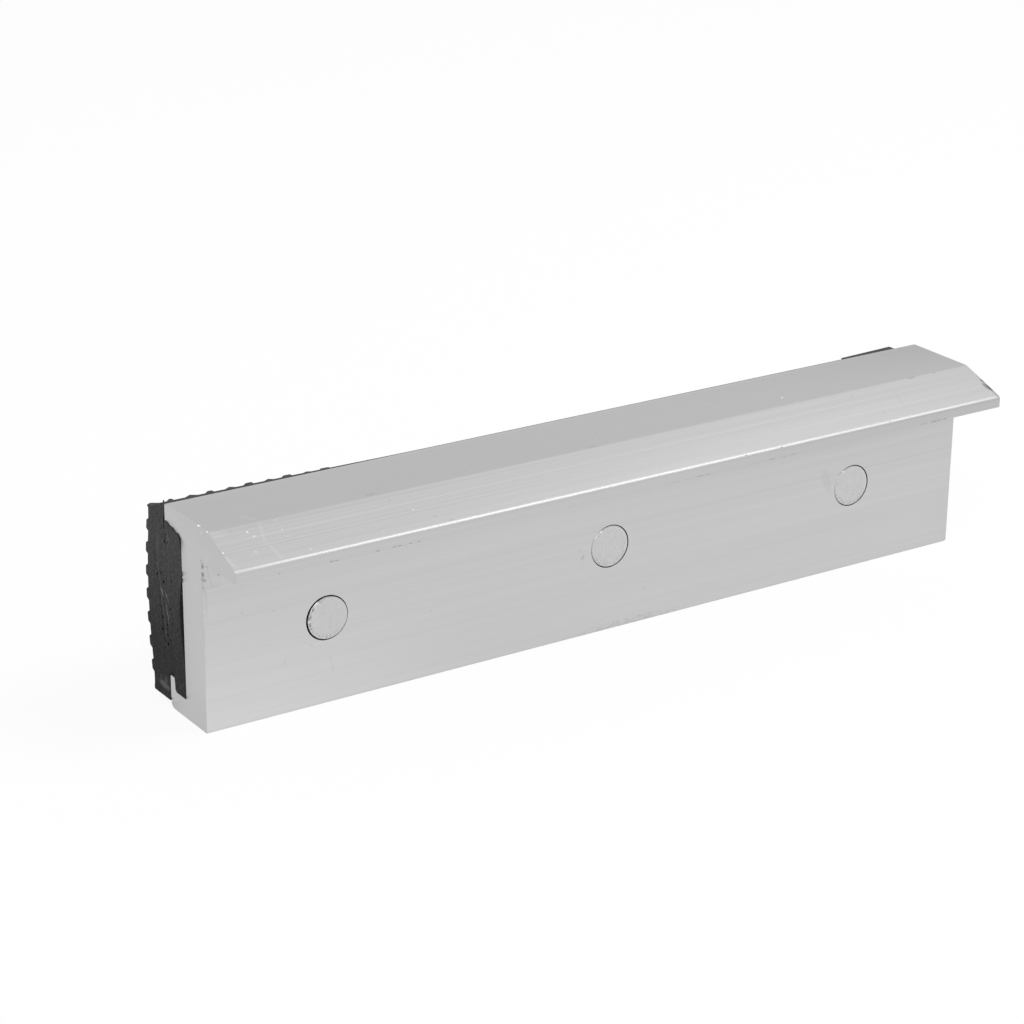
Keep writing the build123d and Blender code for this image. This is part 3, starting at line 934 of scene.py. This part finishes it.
def oneStud():
    # a four-sided frustum stretched to a diamond, with its crest edges broken
    halfBase = (studs["pitch"] - studs["floor"]) / 2
    halfCrest = halfBase - studs["flank"]
    squeeze = math.tan(math.radians(studs["angle"]))
    acrossCorners = 1 / math.sin(math.radians(studs["angle"]))
    bpy.ops.mesh.primitive_cone_add(
        vertices=4, radius1=halfBase * acrossCorners * mm, radius2=halfCrest * acrossCorners * mm,
        depth=studs["height"] * mm, location=(0, 0, 0),
    )
    piece = bpy.context.object
    edit(piece)
    bpy.ops.transform.resize(value=(1, squeeze, 1))
    bpy.ops.transform.rotate(value=math.radians(90), orient_axis="X", center_override=(0, 0, 0))
    leave(piece)
    crest = lambda centre, normal: normal.y > 0.9
    foot = lambda centre, normal: normal.y < -0.9
    choose(piece, crest)
    bpy.ops.mesh.bevel(offset=studs["crestBevel"] * mm, segments=2, affect="EDGES")
    leave(piece)
    stretchOut(piece, foot, [(0, -studs["root"], 0)])
    nudge(piece, lambda x, y, z: (0, studs["height"] / 2, 0))
    return piece


def sunk(x):
    # how much lower the rows lie at this place along the strip
    share = max(0, (studs["sagStart"] - x) / (studs["sagStart"] - strip["sawnEnd"]))
    return studs["sag"] * share ** 2


def studField():
    stepX = studs["pitch"] / math.sin(math.radians(studs["angle"]))
    stepZ = studs["pitch"] / math.cos(math.radians(studs["angle"]))
    firstX = strip["mouldedEnd"] - studs["firstInset"]
    columns = math.ceil((firstX - strip["sawnEnd"]) / stepX) + 1
    rows = math.ceil((studs["firstHeight"] - strip["bottom"]) / stepZ) + 1
    first = oneStud()
    second = first.copy()
    second.data = first.data.copy()
    bpy.context.scene.collection.objects.link(second)
    grids = []
    for shift, grid in ((0, first), (0.5, second)):
        place = (firstX + shift * stepX, fromBack(strip["groundFloor"]), studs["firstHeight"] + shift * stepZ)
        nudge(grid, lambda x, y, z: place)
        for count, offset in ((columns + 1, (-stepX * mm, 0, 0)), (rows + 1, (0, 0, -stepZ * mm))):
            modify(
                grid, "ARRAY", count=count, use_relative_offset=False,
                use_constant_offset=True, constant_offset_displace=offset,
            )
        grids.append(grid)
    field = join("diamondStuds", grids)
    nudge(field, lambda x, y, z: (0, studs["uneven"] * noise.noise((x / 4, 0, z / 4)), -sunk(x)))
    top = ((0, fromBack(strip["crease"]) * mm, (strip["top"] - 0.004) * mm), (0, strip["fall"], 1))
    bottom = ((0, 0, (strip["bottom"] + 0.004) * mm), (0, 0, -1))
    mouldedEnd = (((strip["mouldedEnd"] - strip["rim"]) * mm, 0, 0), (1, 0, 0))
    sawnEnd = ((strip["sawnEnd"] * mm, 0, 0), (-1, 0, 0))
    for point, outward in (top, bottom, mouldedEnd, sawnEnd):
        cut(field, point, outward)
    return field


def pushedUp(x, y, z):
    # the saw left the last of the top standing up as a ridge, higher at its back
    depth = y - fromBack(0)
    near = 1 - (x - strip["sawnEnd"]) / strip["burrRun"]
    if near <= 0 or z < strip["top"] - 2 or depth < strip["lipFace"] - 0.1:
        return (0, 0, 0)
    back, front = strip["lipFace"], strip["studTop"] + strip["leanOut"] + strip["frontOut"]
    wanted = strip["burrBack"] + (strip["burrFront"] - strip["burrBack"]) * (depth - back) / (front - back)
    return (0, 0, (wanted - z) * near ** 2 * max(0, 1 - (strip["top"] - z)))


sawnFace = {
    # pits in the sawn end: depth behind the back face, height and radius, in millimetres
    "pits": [
        (14.97, 21.37, 0.2), (13.73, 21.98, 0.17), (12.86, 20.79, 0.22), (10.32, 21.81, 0.16),
        (11.01, 16.82, 0.2), (13.67, 14.63, 0.22), (12.05, 13.77, 0.22), (13.85, 12.5, 0.21),
        (12.39, 12.98, 0.2), (12.11, 12.17, 0.23), (12.85, 10.94, 0.17), (11.41, 11.48, 0.19),
        (12.1, 10.6, 0.21), (8.84, 14.14, 0.15), (10.48, 14.59, 0.15), (13.2, 9.6, 0.14),
        (11.16, 9.17, 0.16), (14.5, 11.5, 0.12),
    ],
    # marks that aren't cut, painted shade: shallow pits in the smear over the lip, and the dark rims of five
    # larger pits
    "paintedPitShade": [
        (11.68, 28.48, 0.2), (11.0, 27.92, 0.24), (11.5, 29.06, 0.22), (10.73, 28.8, 0.16),
        (13.67, 14.63, 0.34), (13.85, 12.5, 0.34), (12.1, 10.6, 0.34), (12.05, 13.77, 0.3),
        (12.86, 20.79, 0.32),
    ],
    # rubber dragged over the end of the upper lip: its outline, thickest along its top
    "smear": [
        (6.72, 29.6), (6.95, 30.0), (7.3, 30.5), (8.2, 30.5), (8.7, 30.7), (9.25, 30.95), (9.9, 30.9),
        (10.45, 31.05), (11.0, 31.3), (11.45, 31.42), (11.8, 31.1), (11.85, 29.9), (12.35, 29.6),
        (12.3, 28.6), (11.2, 27.3), (9.5, 26.8), (6.8, 27.4),
    ],
    "smearOut": 0.16, "smearFoot": 27.0, "smearRise": 2.0, "smearBevel": 0.05,
    "pitDepth": 0.6, "pitUneven": 0.15,
    "pitPainted": 1.4,         # how far the black inside reaches, as a share of a pit's radius
    # short burrs of rubber hanging on the cut's edges: depth, height and size
    "burrs": [
        (11.5, 5.95, (0.1, 0.3, 0.12)), (10.9, 5.85, (0.1, 0.35, 0.12)), (11.7, 1.5, (0.08, 0.1, 0.16)),
        (6.75, 3.6, (0.08, 0.12, 0.3)), (15.9, 1.2, (0.1, 0.25, 0.1)), (11.9, 34.3, (0.12, 0.15, 0.25)),
        (6.62, 24.2, (0.1, 0.16, 0.5)), (6.6, 23.2, (0.1, 0.14, 0.4)),
    ],
    # painted highlights beside the scarp (the first six) and light streaks, and the chalky smears at the
    # foot: depth, height, half the size both ways, turn and strength
    "glintsAndStreaks": [
        (13.6, 18.9, 0.17, 0.7, -28, 0.085), (12.15, 18.7, 0.14, 0.5, -32, 0.07),
        (11.8, 18.3, 0.11, 0.7, -20, 0.045), (12.1, 16.6, 0.12, 1.0, -8, 0.045),
        (11.9, 15.6, 0.14, 0.8, -24, 0.06), (11.7, 14.4, 0.12, 0.7, -8, 0.045),
        (14.5, 27.0, 0.5, 1.6, 0, 0.010), (10.8, 28.6, 0.35, 1.0, 0, 0.02),
        (8.4, 4.7, 0.4, 0.7, 35, 0.01), (7.5, 5.4, 0.2, 0.4, 0, 0.015),
    ],
    "chalk": [
        (13.9, 2.95, 1.7, 0.55, 3, 0.075), (13.4, 3.9, 0.6, 0.7, 0, 0.035),
        (15.1, 3.8, 0.4, 0.5, 10, 0.02),
    ],
}
rubber = {
    "mouldedShade": 0.019, "mouldedRoughness": 0.5, "mouldedGloss": 0.3,
    "sawnRoughness": 0.6, "sawnGloss": 0.13, "pitShade": 0.002, "pitRoughness": 0.9,
}


def onEnd(depth, z):
    return (strip["sawnEnd"], fromBack(depth), z)


def endMark(depth, z, wide, high, turn, strength):
    return (onEnd(depth, z), (2, wide, high), (turn, 0, 0), strength)


def mouldedRubber():
    shader = newShader("mouldedRubber")
    blotches = shader.clouds((5, 2, 3), detail=3) - 0.5
    grain = shader.clouds((0.25, 0.25, 0.25), detail=2)
    dust = shader.cells((1.3, 1.3, 1.3)).below(0.09, 0.06) * shader.clouds((9, 9, 9)).above(0.5, 0.2)
    tone = blotches * 0.25 + 1.0
    shade = tone * rubber["mouldedShade"] + dust * 0.12
    rough = grain * 0.16 + (rubber["mouldedRoughness"] - 0.08)
    gloss = {"Specular IOR Level": rubber["mouldedGloss"]}
    return shader.finish(shade, rough, shader.bump(grain, 0.02), **gloss)


def sawnRubber():
    # the cut: lighter above, with upright saw marks, a scarp down its middle with painted shade and painted
    # highlights beside it, and chalky smears
    shader = newShader("sawnRubber")
    z = shader.axis("Z")
    depth = shader.axis("Y") - fromBack(0)
    upper = z.above(17, 22)
    bands = shader.clouds((9, 0.9, 22), detail=2) - 0.5
    lines = shader.clouds((9, 0.3, 5), detail=2, turn=(4, 0, 0)) - 0.5
    grain = shader.clouds((0.33, 0.33, 0.33), detail=2).above(0.5, 0.4) - 0.5
    wander = (shader.clouds((9, 9, 2.2), detail=1) - 0.5) * 1.0
    fromScarp = depth - z * 0.165 - 11.08 + wander
    onScarp = z.above(11, 3) * z.below(25.5, 3)
    scarpShade = fromScarp.above(0.0, 0.12) * fromScarp.below(0.75, 1.1) * onScarp
    scarpLight = fromScarp.below(0.0, 0.1) * fromScarp.above(-0.45, 0.4) * onScarp
    glintAndStreakPlaces = [endMark(*mark) for mark in sawnFace["glintsAndStreaks"]]
    glintsAndStreaks = shader.marks(glintAndStreakPlaces, 0.9) * (shader.clouds((0.5, 0.3, 0.5), detail=2) * 2.2 + 0.4)
    smear = shader.marks([endMark(*mark) for mark in sawnFace["chalk"]], 1.0)
    # painted shade for the shallow pits and round the rims of five larger pits
    dark = shader.marks([endMark(d, up, r, r, 0, 0.05) for d, up, r in sawnFace["paintedPitShade"]])
    specks = shader.cells((0.8, 0.8, 0.8)).below(0.14, 0.08)
    light = shader.cells((0.9, 0.9, 0.9), centre=(3, 5, 1)).below(0.12, 0.07)
    broken = shader.clouds((0.5, 0.4, 0.8), detail=2).above(0.45, 0.2)
    tone = upper * 0.030 + 0.006 + bands * 0.018 + lines * 0.014 + grain * (upper * 0.016 + 0.015)
    tone = tone - scarpShade * 0.010 + scarpLight * broken * 0.03 + glintsAndStreaks + smear
    tone = tone - specks * 0.014 + light * 0.04
    tone = (tone - dark).maths("MAXIMUM", rubber["pitShade"])
    height = bands * 0.5 + grain * 0.2 + lines * 0.3 + fromScarp.above(0, 0.3) * onScarp * 0.4 + 0.5
    gloss = {"Specular IOR Level": rubber["sawnGloss"]}
    return shader.finish(tone, rubber["sawnRoughness"], shader.bump(height, 0.06), **gloss)


def pitRubber():
    # the deep inside of the pits, which hardly any light reaches
    shade = grey(rubber["pitShade"]) + (1,)
    return newShader("pitRubber").finish(shade, rubber["pitRoughness"], **{"Specular IOR Level": 0.0})


def inPit(centre, normal):
    if centre.x < strip["sawnEnd"] + 0.005 or centre.x > strip["sawnEnd"] + 0.8:
        return False
    depth = centre.y - fromBack(0)
    reach = sawnFace["pitPainted"]
    return any(math.dist((depth, centre.z), pit[:2]) < reach * pit[2] for pit in sawnFace["pits"])


def smearPlate():
    # flush with the cut at its foot and standing off it along its top
    rise = lambda z: eased((z - sawnFace["smearFoot"]) / sawnFace["smearRise"])
    spread = lambda z: strip["sawnEnd"] - sawnFace["smearOut"] * rise(z)
    corners = [(spread(z), fromBack(depth), z) for depth, z in sawnFace["smear"]]
    piece = plate("smear", corners, (sawnFace["smearOut"] + 0.01, 0, 0))
    edit(piece)
    bpy.ops.mesh.bevel(offset=sawnFace["smearBevel"] * mm, segments=2, affect="EDGES")
    leave(piece)
    return piece


pad = stripBody()
print("strip body ready", len(pad.data.polygons), "faces")
pattern = studField()
print("studs ready", len(pattern.data.polygons), "faces")
for piece in (pad, pattern):
    nudge(piece, bent)
    nudge(piece, pushedUp)
pits = join("pits", [
    lump(onEnd(depth, z), (sawnFace["pitDepth"], radius, radius * 1.1), i, sawnFace["pitUneven"])
    for i, (depth, z, radius) in enumerate(sawnFace["pits"])
])
modify(pad, "BOOLEAN", object=pits, operation="DIFFERENCE", solver="EXACT")
bpy.data.objects.remove(pits)
burrs = [lump(onEnd(depth, z), size, i) for i, (depth, z, size) in enumerate(sawnFace["burrs"])]
pad = join("rubberStrip", [pad, pattern, smearPlate(), *burrs])
pad.data.materials.clear()
pad.data.materials.append(mouldedRubber())
onCut = lambda centre, normal: normal.x < -0.3 and centre.x < strip["sawnEnd"] + 0.1
paint(pad, sawnRubber(), onCut)
paint(pad, pitRubber(), inPit)
smooth(pad, 25)
for face in pad.data.polygons:
    if onCut(face.center / mm, face.normal):
        face.use_smooth = False
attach(pad, "root")
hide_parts("rubber_pad")
print("rubber ready", len(pad.data.polygons), "faces")
